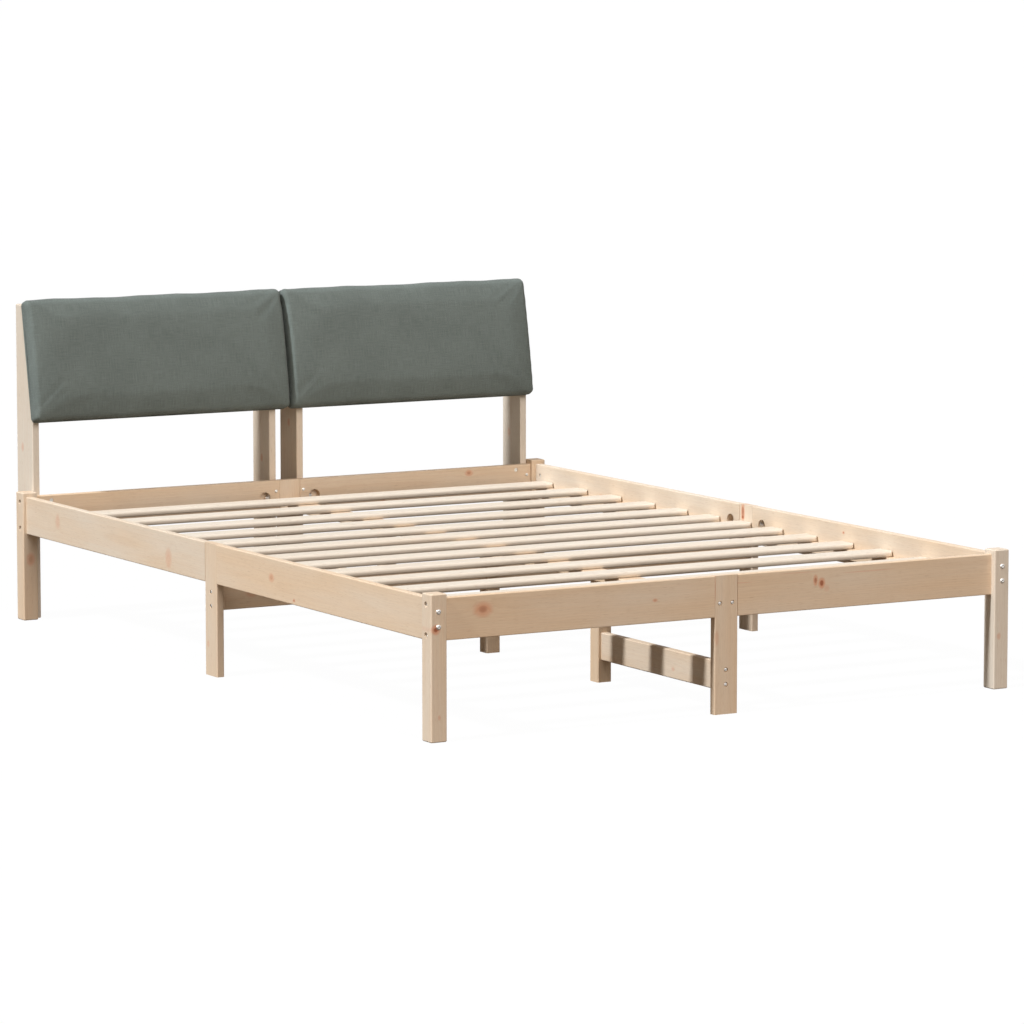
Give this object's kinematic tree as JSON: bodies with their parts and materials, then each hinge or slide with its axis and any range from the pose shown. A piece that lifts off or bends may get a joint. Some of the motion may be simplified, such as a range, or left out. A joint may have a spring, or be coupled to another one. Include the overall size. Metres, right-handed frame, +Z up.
{
  "type": "double bed frame",
  "caption": "Double bed frame in planed pine: flush rails and legs round a slatted mattress base, centre supports, and a low padded headboard that leans back on upright posts.",
  "frame": {"origin": "on the floor, at the centre of the overall box", "axes": "+Y towards the headboard, +X to the right as seen from the foot end, +Z up"},
  "size_m": [1.455, 2.147, 0.7705],
  "materials": {
    "pine": "planed pale softwood, clear matt finish",
    "upholstery": "dark grey-green linen-like weave",
    "backing_board": "plain board, unfinished",
    "zinc_steel": "bright zinc plating"
  },
  "bodies": {
    "root": {"centre_beam_foot": "pine", "centre_beam_head": "pine", "centre_leg": "pine", "corner_leg_foot_left": "pine", "corner_leg_foot_right": "pine", "corner_leg_head_left": "pine", "corner_leg_head_right": "pine", "cross_board": "pine", "foot_rail_left": "pine", "foot_rail_right": "pine", "head_rail_left": "pine", "head_rail_right": "pine", "headboard_post_left_inner": "pine", "headboard_post_left_outer": "pine", "headboard_post_right_inner": "pine", "headboard_post_right_outer": "pine", "ledger_blocks": "pine", "ledger_left_foot": "pine", "ledger_left_head": "pine", "ledger_right_foot": "pine", "ledger_right_head": "pine", "mid_joint_nuts": "zinc_steel", "mid_joint_rods": "zinc_steel", "mid_joint_washers": "zinc_steel", "mid_leg_foot": "pine", "mid_leg_head": "pine", "mid_leg_left": "pine", "mid_leg_right": "pine", "pad_board_left": "backing_board", "pad_board_right": "backing_board", "pad_left": "upholstery", "pad_right": "upholstery", "quarter_leg_foot": "pine", "quarter_leg_head": "pine", "side_rail_left_foot": "pine", "side_rail_left_head": "pine", "side_rail_right_foot": "pine", "side_rail_right_head": "pine", "slat_01": "pine", "slat_02": "pine", "slat_03": "pine", "slat_04": "pine", "slat_05": "pine", "slat_06": "pine", "slat_07": "pine", "slat_08": "pine", "slat_09": "pine", "slat_10": "pine", "slat_11": "pine", "slat_12": "pine", "slat_13": "pine", "stretcher_foot": "pine", "stretcher_head": "pine"}
  },
  "joints": []
}
